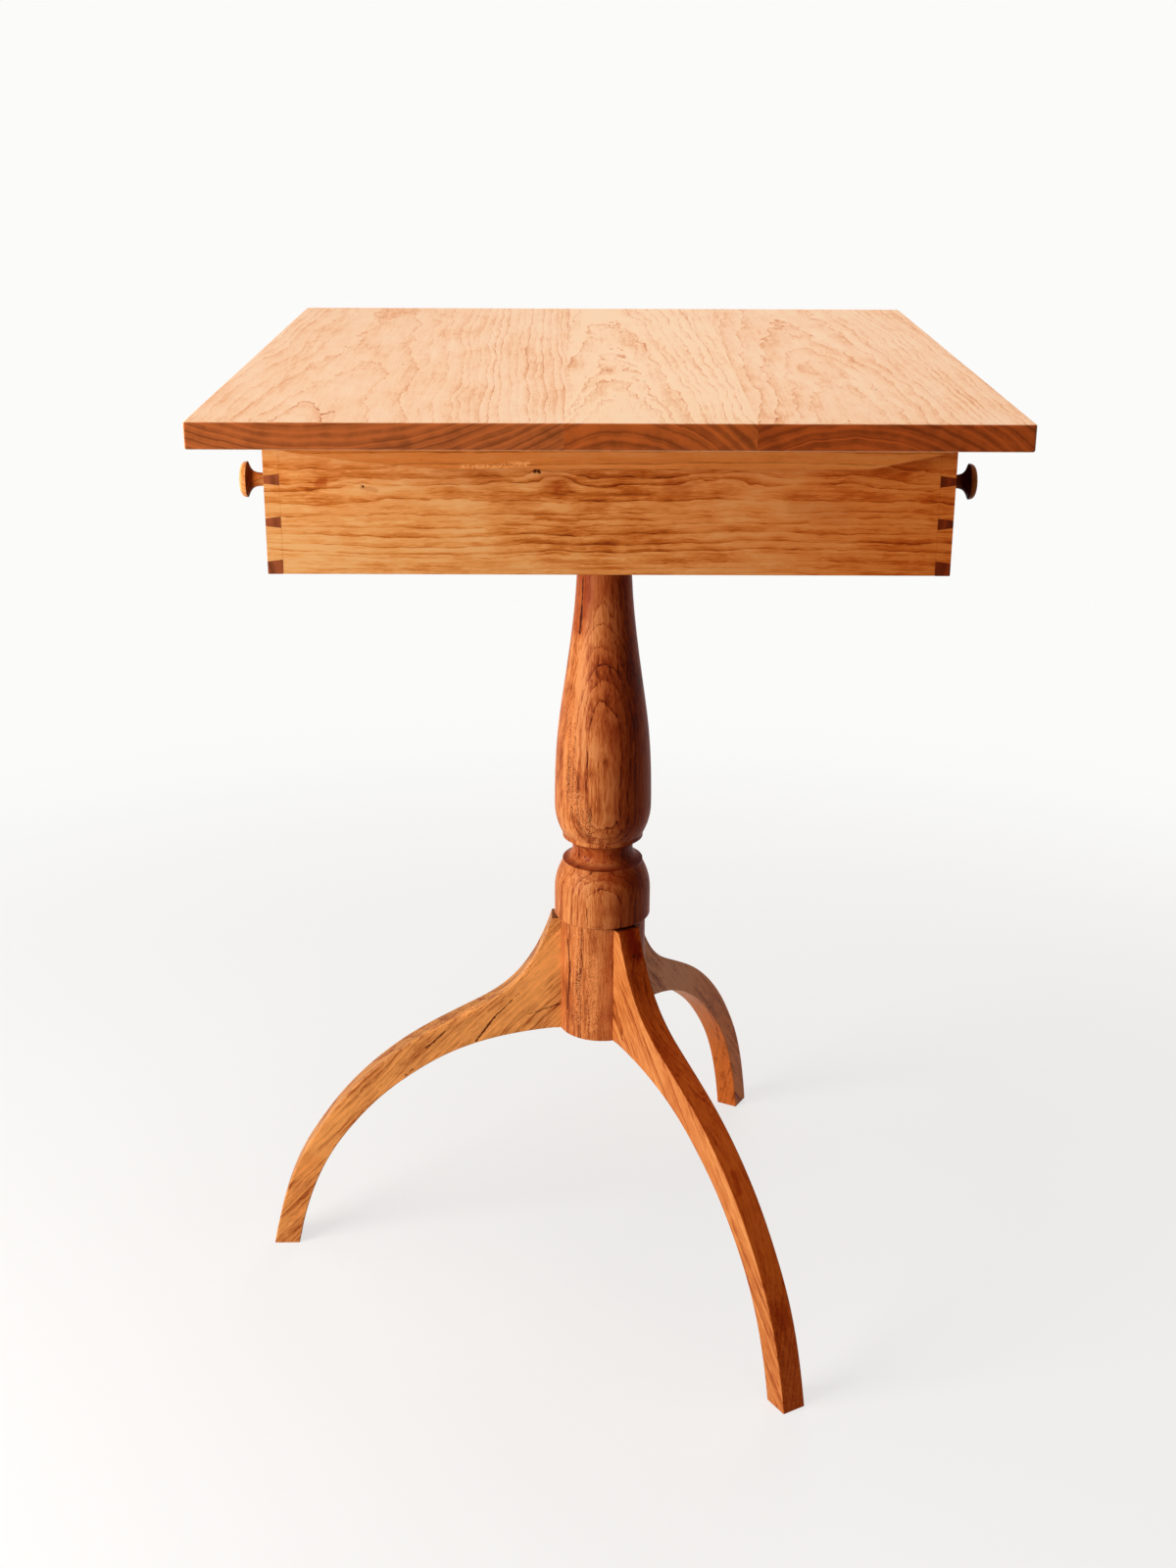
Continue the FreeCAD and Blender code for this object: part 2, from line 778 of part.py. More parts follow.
def drawer_end(name):
    """An end board with pins at both edges, a groove and the knob's hole.

    Its own frame has the middle of its lower edge at the origin, with its
    outer face at x 0 and its inner face towards +X.
    """
    half = drawer_width / 2
    body = new_body(name)
    plan = sketch_on(body, "XY_Plane", name + "_plan")
    rectangle(plan, 0, -half, z.drawer_end_thickness, half)
    pad(body, plan, z.drawer_height, name + "_board")
    tails = sketch_on(body, "XZ_Plane", name + "_tail_side", half)
    lines = pin_lines()
    for low, high in zip(lines[::2], lines[1::2]):
        outline(
            tails,
            [
                (0, low[0]),
                (z.drawer_end_thickness, low[1]),
                (z.drawer_end_thickness, high[1]),
                (0, high[0]),
            ],
        )
    sockets = pocket(body, tails, z.drawer_side_thickness, name + "_tail_sockets")
    repeated(body, [sockets], "Y_Axis", drawer_width, 2, name + "_both_edges")
    groove = sketch_on(body, "YZ_Plane", name + "_groove_side", z.drawer_end_thickness)
    reach = half - z.drawer_side_thickness + z.groove_depth
    rectangle(
        groove,
        -reach,
        z.bottom_lift,
        reach,
        z.bottom_lift + z.bottom_thickness + 2 * z.groove_clearance,
    )
    pocket(body, groove, z.groove_depth, name + "_groove")
    hole = sketch_on(body, "YZ_Plane", name + "_knob_place")
    circle(hole, 0, z.drawer_height / 2, z.knob_tenon_radius + z.knob_clearance)
    pocket(body, hole, z.drawer_end_thickness * 2, name + "_knob_hole")
    return body


def knob(name):
    """A turned knob along its own +X, with its tenon reaching back from x 0."""
    body = new_body(name)
    half = sketch_on(body, "XY_Plane", name + "_half")
    rim_front = z.knob_projection - z.knob_rim_from_tip
    rim_back = rim_front - z.knob_rim_thickness
    flare_start = rim_back - z.knob_flare_length
    growth = z.knob_head_radius - z.knob_neck_radius
    outline(
        half,
        [
            (-z.drawer_end_thickness, 0),
            (-z.drawer_end_thickness, z.knob_tenon_radius),
            (0, z.knob_tenon_radius),
            (0, z.knob_base_radius),
            (z.knob_base_length, z.knob_neck_radius),
            (flare_start, z.knob_neck_radius),
            (rim_back, z.knob_head_radius),
            (rim_front, z.knob_head_radius),
            (z.knob_projection, 0),
        ],
        splines={
            5: [
                (flare_start + z.knob_flare_length * along, z.knob_neck_radius + growth * out)
                for along, out in flare_shares
            ],
            7: [
                (rim_front + z.knob_rim_from_tip * along, z.knob_head_radius * out)
                for along, out in dome_shares
            ],
        },
    )
    turned(body, half, name + "_turning", "H_Axis")
    return body


def drawer(prefix, x, facing):
    """One drawer. facing is -1 in front of the column and 1 behind it."""
    middle_y = facing * (drawer_face_offset - drawer_width / 2)
    half_turn = 180 if facing > 0 else 0
    side_reach = (drawer_width - z.drawer_side_thickness) / 2
    place(drawer_side(prefix + "_outer_side"), x, middle_y + facing * side_reach, drawer_bottom, half_turn)
    place(
        drawer_side(prefix + "_inner_side"), x, middle_y - facing * side_reach, drawer_bottom, 180 - half_turn
    )
    place(drawer_end(prefix + "_left_end"), x - drawer_length / 2, middle_y, drawer_bottom)
    place(drawer_end(prefix + "_right_end"), x + drawer_length / 2, middle_y, drawer_bottom, 180)
    body = new_body(prefix + "_bottom")
    plan = sketch_on(body, "XY_Plane", prefix + "_bottom_plan")
    half_x = drawer_length / 2 - z.drawer_end_thickness + z.groove_depth - z.groove_clearance
    half_y = drawer_width / 2 - z.drawer_side_thickness + z.groove_depth - z.groove_clearance
    rectangle(plan, -half_x, -half_y, half_x, half_y)
    pad(body, plan, z.bottom_thickness, prefix + "_bottom_panel")
    place(body, x, middle_y, drawer_bottom + z.bottom_lift + z.groove_clearance)
    for name, direction in (("_outer_slide", facing), ("_inner_slide", -facing)):
        strip = doc.addObject("Part::Box", prefix + name)
        strip.Label = prefix + name
        bind(strip, "Length", drawer_length)
        bind(strip, "Width", z.slide_strip_reach)
        bind(strip, "Height", z.slide_strip_height)
        face = middle_y + direction * drawer_width / 2
        near = face if direction > 0 else face - z.slide_strip_reach
        place(strip, x - drawer_length / 2, near, drawer_bottom + z.drawer_height - z.slide_strip_height)
        nodes.append(strip)
    knob_z = drawer_bottom + z.drawer_height / 2
    place(knob(prefix + "_left_knob"), x - drawer_length / 2, middle_y, knob_z, 180)
    place(knob(prefix + "_right_knob"), x + drawer_length / 2, middle_y, knob_z)


drawer("front_drawer", column_x + z.front_drawer_rest_shift, -1)
drawer("back_drawer", column_x, 1)

# Checks and files

doc.recompute()
for item in doc.Objects:
    if "Invalid" in item.State or "Error" in item.State:
        raise RuntimeError(f"{item.Name} failed: {item.State}")
os.makedirs("parts", exist_ok=True)
for node in nodes:
    shape = node.Shape
    if shape.isNull() or not shape.isValid() or not shape.Solids:
        raise RuntimeError(f"{node.Label} has no valid solid")
    shape.exportStep(f"parts/{node.Label}.step")
    box = shape.BoundBox
    print(
        f"{node.Label:26s} solids {len(shape.Solids)}  volume {shape.Volume:11.1f}  "
        f"x {box.XMin:8.2f} {box.XMax:8.2f}  y {box.YMin:8.2f} {box.YMax:8.2f}  z {box.ZMin:7.2f} {box.ZMax:7.2f}"
    )
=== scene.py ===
import json
import math

import bmesh
import bpy
from bpy.props import FloatProperty, FloatVectorProperty, PointerProperty
from mathutils import Euler, Matrix, Vector


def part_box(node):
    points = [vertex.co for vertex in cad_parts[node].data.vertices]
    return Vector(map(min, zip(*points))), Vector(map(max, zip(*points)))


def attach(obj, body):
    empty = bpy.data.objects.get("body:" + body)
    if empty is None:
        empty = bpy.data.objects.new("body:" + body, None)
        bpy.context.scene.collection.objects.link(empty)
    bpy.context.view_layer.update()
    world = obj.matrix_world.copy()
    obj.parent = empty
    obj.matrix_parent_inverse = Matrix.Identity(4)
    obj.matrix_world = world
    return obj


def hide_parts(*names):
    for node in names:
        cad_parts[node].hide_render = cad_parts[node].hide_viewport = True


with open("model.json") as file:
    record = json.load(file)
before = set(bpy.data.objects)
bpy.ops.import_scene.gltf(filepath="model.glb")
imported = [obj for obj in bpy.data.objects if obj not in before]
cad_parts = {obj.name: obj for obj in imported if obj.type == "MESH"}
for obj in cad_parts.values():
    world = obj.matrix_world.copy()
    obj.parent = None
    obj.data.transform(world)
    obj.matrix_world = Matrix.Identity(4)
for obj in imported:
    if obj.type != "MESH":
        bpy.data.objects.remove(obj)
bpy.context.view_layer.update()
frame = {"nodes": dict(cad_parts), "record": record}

bl_info = {
    "name": "Sewing stand",
    "version": (1, 0, 0),
    "blender": (4, 5, 0),
    "location": "3D View > Sidebar > Sewing stand",
    "description": "Finishes a cherry sewing stand with its top, column, legs and two drawers",
    "category": "Object",
}

# Lengths are in metres, except where a name or a docstring says millimetres.
# X runs to the right along the drawers, Y to the back, Z up.

MM = 0.001


def tint(red, green, blue):
    """A colour as a screen shows it, 0 to 255, as linear light."""
    shown = [part / 255 for part in (red, green, blue)]
    return tuple(part / 12.92 if part <= 0.04045 else ((part + 0.055) / 1.055) ** 2.4 for part in shown)


def colour(name, description, red, green, blue):
    return FloatVectorProperty(
        name=name,
        description=description,
        subtype="COLOR",
        size=3,
        min=0.0,
        max=1.0,
        default=tint(red, green, blue),
    )


def millimetres(name, description, size):
    return FloatProperty(
        name=name, description=description, default=size * MM, min=0.0, unit="LENGTH", precision=5
    )


def share(name, description, default):
    return FloatProperty(name=name, description=description, default=default, min=0.0, subtype="FACTOR")


# Sizes and colours


class TopLook(bpy.types.PropertyGroup):
    """Colours of the top boards."""

    pale: colour("Pale wood", "Early wood on the face of the top", 255, 217, 178)
    body: colour("Wood", "Main colour of the face of the top", 252, 202, 157)
    light: colour("Middle board", "Paler wood of the middle board", 255, 212, 168)
    deep: colour("Late wood", "Late wood on the face of the top", 236, 162, 104)
    line: colour("Ring line", "Thin line at the end of each year", 198, 104, 52)
    end: colour("Left end grain", "Sawn ends of the left board", 178, 92, 43)
    end_middle: colour("Middle end grain", "Sawn ends of the middle board", 183, 89, 36)
    end_right: colour("Right end grain", "Sawn ends of the right board", 175, 79, 29)
    figure: share("Figure", "Strength of the figure on the face", 1.35)


class ColumnLook(bpy.types.PropertyGroup):
    """Colours of the turned column."""

    pale: colour("Pale wood", "Early wood of the column", 224, 144, 84)
    body: colour("Wood", "Main colour of the column", 202, 114, 58)
    deep: colour("Late wood", "Late wood of the column", 160, 74, 32)
    line: colour("Ring line", "Thin line at the end of each year", 84, 28, 10)
    end: colour("End grain", "Shoulders and hollows across the grain", 146, 64, 30)
    figure: share("Figure", "Strength of the figure", 1.0)


class LegLook(bpy.types.PropertyGroup):
    """Colours of the legs."""

    pale: colour("Pale wood", "Early wood of the legs", 226, 146, 80)
    body: colour("Wood", "Main colour of the legs", 208, 122, 60)
    deep: colour("Late wood", "Late wood of the legs", 170, 84, 34)
    line: colour("Ring line", "Thin line at the end of each year", 106, 42, 14)
    end: colour("End grain", "Cut ends of the legs", 128, 60, 26)
    golden: colour("Left leg", "Lighter wood of the left leg", 222, 144, 76)
    # Painted sheen: the back leg's greyer, paler colour stands in for a pale reflection on its shaded side
    sheen_mauve: colour("Back leg", "Greyer wood of the back leg", 255, 180, 134)
    figure: share("Figure", "Strength of the figure", 0.9)


class DrawerLook(bpy.types.PropertyGroup):
    """Colours of the drawers, and how far their arrises are eased."""

    pale: colour("Pale wood", "Early wood of the drawer boards", 248, 186, 118)
    body: colour("Wood", "Main colour of the drawer boards", 240, 160, 86)
    deep: colour("Late wood", "Late wood of the drawer boards", 206, 112, 40)
    line: colour("Ring line", "Thin line at the end of each year", 128, 50, 10)
    end: colour("End grain", "Ends of the pins", 158, 82, 46)
    # Painted shade: the end boards are a darker copy of the sides' colours
    end_board_shade: share("End boards", "Share of the sides' colour that the darker end boards have", 0.65)
    pine: colour("Bottom", "Bare pine of the drawer bottoms", 226, 184, 128)
    figure: share("Figure", "Strength of the figure", 1.0)
    joint_ease: millimetres("Joint ease", "Width of the ease along the joints", 0.18)
    rim_ease: millimetres("Rim ease", "Width of the ease along the lower edges", 0.6)


class KnobLook(bpy.types.PropertyGroup):
    """Colours of the knobs."""

    pale: colour("Pale wood", "Early wood of the knobs", 244, 186, 120)
    body: colour("Wood", "Main colour of the knobs", 222, 150, 84)
    deep: colour("Late wood", "Late wood of the knobs", 176, 98, 44)
    line: colour("Ring line", "Thin line at the end of each year", 100, 46, 18)
    end: colour("End grain", "Face of the knobs, across the grain", 236, 188, 128)
    # Painted shade: the right knobs are a darker copy of the knobs' colours
    shadowed: share("Right knobs", "Share of the colour that the darker right knobs have", 0.75)
    figure: share("Figure", "Strength of the figure", 0.9)


class RunnerLook(bpy.types.PropertyGroup):
    """Colours of the runners, the centre cleat and the slides, and how far they are eased."""

    pale: colour("Pale wood", "Early wood of the runners", 244, 170, 98)
    body: colour("Wood", "Main colour of the runners", 236, 142, 66)
    deep: colour("Late wood", "Late wood of the runners", 186, 96, 36)
    line: colour("Ring line", "Thin line at the end of each year", 110, 46, 14)
    end: colour("End grain", "Sawn ends of the runners", 138, 66, 30)
    figure: share("Figure", "Strength of the figure", 0.8)
    ease: millimetres("Ease", "Width of the ease along the arrises", 0.5)


class FastenerLook(bpy.types.PropertyGroup):
    """Colours of the wedge and the screws."""

    maple: colour("Wedge", "Maple of the tenon's wedge", 226, 190, 140)
    iron: colour("Screws", "Dull iron of the screws", 96, 92, 88)


class StageLook(bpy.types.PropertyGroup):
    """Floor, backdrop and light."""

    floor: colour("Floor", "Pale floor as the camera sees it", 243, 241, 238)
    backdrop: colour("Backdrop", "Pale room behind the stand", 251, 251, 250)
    fill: colour("Fill", "Warm colour of the light that the room throws back", 255, 218, 184)
    key: FloatProperty(name="Key light", description="Window light from the left", default=34.0, min=0.0)
    overhead: FloatProperty(name="Overhead light", description="Soft light from above", default=22.5,
                            min=0.0)
    back: FloatProperty(name="Back light", description="Weak light from behind", default=8.0, min=0.0)
    room: FloatProperty(name="Room light", description="Even light of the room", default=0.12, min=0.0)
    bounce: share("Bounce", "Share of the light that the floor round the feet throws back", 0.5)
    glow: share("Floor glow", "Share of the floor's brightness that no shadow takes away", 0.7)


class StandLook(bpy.types.PropertyGroup):
    """Everything about the stand's looks that a user would change."""

    top: PointerProperty(type=TopLook)
    column: PointerProperty(type=ColumnLook)
    legs: PointerProperty(type=LegLook)
    drawers: PointerProperty(type=DrawerLook)
    knobs: PointerProperty(type=KnobLook)
    runners: PointerProperty(type=RunnerLook)
    fasteners: PointerProperty(type=FastenerLook)
    stage: PointerProperty(type=StageLook)


# Material nodes


class Level:
    """A number, colour or place that a finish works out for each point of the wood."""

    def __init__(self, finish, socket):
        self.finish = finish
        self.socket = socket

    def worked(self, operation, *parts):
        return self.finish.add("ShaderNodeMath", {"operation": operation}, dict(enumerate(parts)))

    def __add__(self, other):
        return self.worked("ADD", self, other)

    def __sub__(self, other):
        return self.worked("SUBTRACT", self, other)

    def __mul__(self, other):
        return self.worked("MULTIPLY", self, other)

    def __truediv__(self, other):
        return self.worked("DIVIDE", self, other)

    def __radd__(self, other):
        return self.worked("ADD", other, self)

    def __rsub__(self, other):
        return self.worked("SUBTRACT", other, self)

    def __rmul__(self, other):
        return self.worked("MULTIPLY", other, self)

    def __abs__(self):
        return self.worked("ABSOLUTE", self)

    def floor(self):
        return self.worked("FLOOR", self)

    def fraction(self):
        return self.worked("FRACT", self)

    def most(self, other):
        return self.worked("MAXIMUM", self, other)


class Finish:
    """The nodes of a material or of the room, added one by one."""

    def __init__(self, tree):
        self.nodes = tree.nodes
        self.links = tree.links
        self.nodes.clear()

    def add(self, kind, settings=None, values=None, output=0):
        """A node of that kind: its settings first, then the values or links of its sockets."""
        node = self.nodes.new(kind)
        for name, setting in (settings or {}).items():
            if name == "stops":
                self.set_stops(node.color_ramp, setting)
            else:
                setattr(node, name, setting)
        for name, value in (values or {}).items():
            if isinstance(value, Level):
                self.links.new(value.socket, node.inputs[name])
            else:
                node.inputs[name].default_value = value
        return Level(self, node.outputs[output]) if node.outputs else node

    @staticmethod
    def set_stops(ramp, stops):
        while len(ramp.elements) < len(stops):
            ramp.elements.new(1.0)
        for element, (position, shade) in zip(ramp.elements, stops):
            element.position = position
            element.color = (*shade, 1.0)

    def vector(self, operation, first, second=None, output=0):
        values = {0: first} if second is None else {0: first, 1: second}
        return self.add("ShaderNodeVectorMath", {"operation": operation}, values, output)

    def scaled(self, vector, factor):
        values = {"Vector": vector, "Scale": factor}
        return self.add("ShaderNodeVectorMath", {"operation": "SCALE"}, values)

    def step(self, value, low, high, start=0.0, end=1.0):
        """A soft step from start to end while the value goes from low to high."""
        values = {"Value": value, "From Min": low, "From Max": high, "To Min": start, "To Max": end}
        return self.add("ShaderNodeMapRange", {"interpolation_type": "SMOOTHSTEP"}, values)

    def blend(self, share, first, second):
        """The first colour where the share is 0, the second where it is 1."""
        first, second = (item if isinstance(item, Level) else (*item, 1.0) for item in (first, second))
        values = {0: share, 6: first, 7: second}
        return self.add("ShaderNodeMix", {"data_type": "RGBA"}, values, output=2)

    def tinted(self, base, share, shade):
        """The colour times a shade, where the share is 1."""
        values = {0: share, 6: base, 7: (*shade, 1.0)}
        return self.add("ShaderNodeMix", {"data_type": "RGBA", "blend_type": "MULTIPLY"}, values, output=2)

    def patches(self, place, across, along, detail=2.0, output=0):
        """Soft noise in patches of that size in millimetres, across and along the grain."""
        spread = self.vector("MULTIPLY", place, (1 / across, 1 / across, 1 / along))
        values = {"Vector": spread, "Scale": 1.0, "Detail": detail}
        return self.add("ShaderNodeTexNoise", None, values, output)

    def shift(self, place, across, along, reach, detail=1.0):
        """The place moved by soft noise, by up to about that reach."""
        noise = self.patches(place, across, along, detail, output=1)
        push = self.scaled(self.vector("SUBTRACT", noise, (0.5, 0.5, 0.5)), 2 * reach)
        return self.vector("ADD", place, push)

    def near_line(self, place, start, end, width):
        """1 on the line from start to end, falling to 0 at that distance from it, in millimetres."""
        along = Vector(end) - Vector(start)
        offset = self.vector("SUBTRACT", place, start)
        reached = self.vector("DOT_PRODUCT", offset, along / along.length_squared, output=1)
        nearest = self.scaled(tuple(along), self.add("ShaderNodeClamp", None, {"Value": reached}))
        gap = self.vector("DISTANCE", offset, nearest, output=1)
        return self.step(gap, LINE_CORE * width, width, 1.0, 0.0)

    def near_point(self, place, point, inner, outer):
        """1 within the inner distance of a point, falling to 0 at the outer one, in millimetres."""
        return self.step(self.vector("DISTANCE", place, point, output=1), inner, outer, 1.0, 0.0)

    def seen(self):
        """1 for what the camera sees, straight, mirrored or through glass, and 0 for light on things."""
        rays = [self.add("ShaderNodeLightPath", output=f"Is {kind} Ray") for kind in
                ("Camera", "Glossy", "Transmission")]
        return rays[0].most(rays[1]).most(rays[2])


# Wood: how much it shines, and the tints that colour it, painted shade among them

SHEEN = 0.055
# Painted shade: tints that make the wood redder and darker away from the window, and on the right knobs
RED_PAINTED_SHADE = (0.9, 0.58, 0.34)
DEEP_PAINTED_SHADE = (0.64, 0.34, 0.2)
# Browner towards the back leg's foot
BROWN_TOWARDS_FOOT = (0.9, 0.58, 0.28)
# Tints of the legs' curved edges: painted shade, darker and redder, on the front leg's; greyer and darker
# on the left leg's; golden on the back leg's
FRONT_EDGE_SHADE = (0.92, 0.48, 0.2)
GOLDEN_TINT = (0.8, 0.64, 0.42)
LEFT_EDGE_TINT = (0.74, 0.76, 0.74)
# Painted shade in the knobs' hollows
HOLLOW_SHADE = (0.14, 0.05, 0.03)
# Tint of stains and of painted shade
STAIN_AND_SHADE_TINT = (0.64, 0.32, 0.15)

# Shares of a wood's own colours in its lightest and darkest parts, and in its painted highlights and
# painted shadow gaps
END_LIGHT = 1.25
END_DARK = 0.55
PALE_MARK_LIGHT = 1.25
KNOT_DARK = 0.35
CRACK_AND_SHADOW_DARK = 0.7

# Stains and painted shade wider than this, in millimetres, have frayed edges; narrower ones are straight
FRAYED_FROM = 2.0
# How far the rings swell round a knot, in sizes of the knot, and by how many rings
KNOT_SWELL_REACH = 9
KNOT_SWELL = 0.2
# The groups of rings that the end grain shows, per ring
BROAD_RINGS = 0.45
# Distances between which a knot fades out, in sizes of the knot
KNOT_FADE = (0.4, 1.3)
# Share of a line's width that is fully marked
LINE_CORE = 0.35
# Cosines between which a surface passes from long grain to end grain, and from a leg's curved edge
# to its flat side
END_GRAIN_COSINES = (0.5, 0.95)
FLAT_SIDE_COSINES = (0.3, 0.8)


def shades_of(look):
    """The five colours of a wood."""
    return {part: tuple(getattr(look, part)) for part in ("pale", "body", "deep", "line", "end")}


def shaded(body, pale=1.12, deep=0.8, line=0.5, end=0.6):
    """The five colours of a wood, from its main one."""
    factors = {"pale": pale, "body": 1.0, "deep": deep, "line": line, "end": end}
    return {part: tuple(factor * level for level in body) for part, factor in factors.items()}


def wood(name, shades, pith, turn, spacing, figure=1.0, wander=2.6, jag=0.6, growth=0.2, lines=0.5,
         streak=0.3, blotch=0.35, gloss=0.42, knots=(), cracks_and_shadow_gaps=(), stains_and_shade=(), pale_marks_and_highlights=(), swells=(),
         tint_across_x=None, edge_tint=None, shade_facing=None):
    """Solid wood, cut from a log whose pith runs through a point, with its rings that far apart.

    The pith is in metres; turn is in degrees and takes Z to the grain. Sizes are in millimetres:
    wander and jag, the slow and quick waver of the rings, knots as a point and a size, cracks and
    painted shadow gaps as two ends and a width, stains and painted shade, and pale marks and painted
    highlights, as two ends, a width and a strength, swells of the rings as a point, a reach and a push
    in rings, and the tint across X as the stretch of X over which the wood takes on a tint, which is
    painted shade, darker away from the window, on the column and the drawers. Growth, lines, streak
    and blotch are how strongly each darkens the wood. The edge tint is the direction of a board's
    faces and the tint of its curved edges, painted shade on the front leg. The shade facing is the
    direction that a turned piece's hollow looks in, where shade is painted, and the cosines from that
    direction between which it fades in.
    """
    material = bpy.data.materials.new(name)
    material.use_nodes = True
    finish = Finish(material.node_tree)
    turn = Euler([math.radians(angle) for angle in turn])
    grain = turn.to_matrix() @ Vector((0, 0, 1))
    spot = finish.add("ShaderNodeTexCoord", output="Object")
    facing = finish.add("ShaderNodeTexCoord", output="Normal")
    in_log = {"Vector": spot, "Location": pith, "Rotation": turn, "Scale": (MM, MM, MM)}
    log = finish.add("ShaderNodeMapping", {"vector_type": "TEXTURE"}, in_log)
    stand = finish.scaled(spot, 1 / MM)

    # Rings
    slow = finish.shift(log, 80, 240, wander, detail=2.0)
    swung = finish.shift(slow, 18, 40, jag, detail=2.0)
    wavered = finish.shift(swung, 5, 13, 0.3 * jag, detail=2.0)
    radius = finish.vector("LENGTH", finish.vector("MULTIPLY", wavered, (1, 1, 0)), output=1)
    around_knots = [(point, KNOT_SWELL_REACH * size, KNOT_SWELL) for point, size in knots]
    for point, reach, push in (*swells, *around_knots):
        radius = radius + finish.near_point(stand, point, 0.0, reach) * (push * spacing)
    years = radius / spacing
    grouped = {"W": years * 0.45, "Scale": 1.0}
    uneven = finish.add("ShaderNodeTexNoise", {"noise_dimensions": "1D"}, grouped)
    ring = years + uneven * 1.6
    chance = finish.add("ShaderNodeTexWhiteNoise", {"noise_dimensions": "1D"}, {"W": ring.floor()})
    late = ring.fraction()
    closing = finish.step(late, 0.955, 1.0, 1.0, 0.0)
    late_wood = finish.step(late, 0.15, 0.95) * closing
    ring_line = finish.step(late, 0.84, 0.94) * closing

    # Fibres, pores and slow changes of colour
    bands = finish.patches(wavered, 4.0, 70, 2.0)
    streaks = finish.patches(wavered, 1.2, 35, 3.0)
    fibres = finish.patches(wavered, 0.45, 12)
    dashes = finish.step(finish.patches(wavered, 0.8, 13, 1.0), 0.57, 0.72)
    flecks = finish.step(finish.patches(swung, 0.9, 8, 1.0), 0.56, 0.7)
    pores = finish.step(finish.patches(wavered, 0.4, 4.0, 0.0), 0.62, 0.72)
    mottle = finish.patches(slow, 32, 90, 3.0)
    clouds = finish.patches(wavered, 9, 22, 2.0)
    broken = finish.step(finish.patches(wavered, 3.0, 15), 0.4, 0.62, 0.12, 1.0)

    tone = (
        0.3
        + (mottle - 0.5) * (1.3 * blotch * figure)
        + (clouds - 0.5) * (0.7 * blotch * figure)
        + (bands - 0.5) * (1.2 * streak * figure)
        + (streaks - 0.5) * (1.1 * streak * figure)
        + (fibres - 0.5) * (0.8 * streak * figure)
        + dashes * (0.25 * streak * figure)
        - flecks * (0.35 * streak * figure)
        + (late_wood - 0.3) * (chance * 1.1 + 0.45) * (growth * figure)
        + ring_line * broken * (chance * 0.9 + 0.2) * (lines * figure)
        + pores * (0.1 * figure)
    )
    stops = ((0.0, shades["pale"]), (0.34, shades["body"]), (0.66, shades["deep"]), (1.0, shades["line"]))
    face = finish.add("ShaderNodeValToRGB", {"stops": stops}, {"Fac": tone})

    # End grain, where the surface crosses the fibres
    crossed = abs(finish.vector("DOT_PRODUCT", facing, tuple(grain), output=1))
    across = finish.step(crossed, *END_GRAIN_COSINES)
    end_light = tuple(END_LIGHT * level for level in shades["end"])
    end_dark = tuple(END_DARK * level for level in shades["end"])
    broad = abs((ring * BROAD_RINGS).fraction() - 0.5) * 2.0
    banded = finish.step(
        broad * 0.5 + late_wood * (chance * 0.3 + 0.1) + clouds * 0.9 + mottle * 0.5, 0.6, 1.55)
    base = finish.blend(across, face, finish.blend(banded, end_light, end_dark))

    # Tints across X, painted shade away from the window on the column and the drawers; tints on curved
    # edges, painted shade on the front leg's; painted shade in the knobs' hollows
    if tint_across_x:
        start, end, shade = tint_across_x
        x_reached = finish.step(finish.add("ShaderNodeSeparateXYZ", None, {"Vector": stand}), start, end)
        base = finish.tinted(base, x_reached, shade)
    # Curved edges of a leg tinted; on the front leg that is painted shade
    if edge_tint:
        side, shade = edge_tint
        along_side = abs(finish.vector("DOT_PRODUCT", facing, side, output=1))
        edge = finish.step(along_side, *FLAT_SIDE_COSINES, 1.0, 0.0)
        base = finish.tinted(base, edge, shade)
    # Painted shade where a knob's hollow faces the drawer
    if shade_facing:
        inward, low, high = shade_facing
        in_shade = finish.step(finish.vector("DOT_PRODUCT", facing, inward, output=1), low, high)
        base = finish.tinted(base, in_shade, HOLLOW_SHADE)

    # Stains and painted shade, pale marks and painted highlights, knots, cracks and painted shadow gaps
    black = tuple(KNOT_DARK * level for level in shades["line"])
    dark = tuple(CRACK_AND_SHADOW_DARK * level for level in shades["line"])
    speckled_pale = tuple(PALE_MARK_LIGHT * level for level in shades["pale"])
    ragged = finish.shift(stand, 2.5, 2.5, 0.8)
    frayed = finish.shift(stand, 7, 5, 2.5, detail=3.0)
    for start, end, width, strength in stains_and_shade:
        mark = finish.near_line(frayed if width > FRAYED_FROM else stand, start, end, width)
        base = finish.tinted(base, mark * strength, STAIN_AND_SHADE_TINT)
    for start, end, width, strength in pale_marks_and_highlights:
        mark = finish.near_line(frayed, start, end, width)
        speckled = finish.step(finish.patches(stand, 1.0, 1.0, 1.0), 0.42, 0.55)
        base = finish.blend(mark * speckled * strength, base, speckled_pale)
    sunk = None
    for point, size in knots:
        mark = finish.near_point(ragged, point, *(share * size for share in KNOT_FADE))
        base = finish.blend(mark, base, black)
        sunk = mark if sunk is None else sunk.most(mark)
    for start, end, width in cracks_and_shadow_gaps:
        mark = finish.near_line(ragged, start, end, width)
        base = finish.blend(mark, base, dark)
        sunk = mark if sunk is None else sunk.most(mark)

    roughness = (mottle - 0.5) * 0.12 + fibres * 0.1 + across * 0.14 + (gloss - 0.05)
    height = fibres * 0.25 - pores * 0.6 - ring_line * 0.25
    if sunk is not None:
        height = height - sunk * 2.0
    bump = finish.add("ShaderNodeBump", None, {"Strength": 0.3, "Distance": 0.2 * MM, "Height": height})
    values = {"Base Color": base, "Roughness": roughness, "Normal": bump, "Specular IOR Level": SHEEN}
    surface = finish.add("ShaderNodeBsdfPrincipled", None, values)
    finish.add("ShaderNodeOutputMaterial", None, {"Surface": surface})
    return material


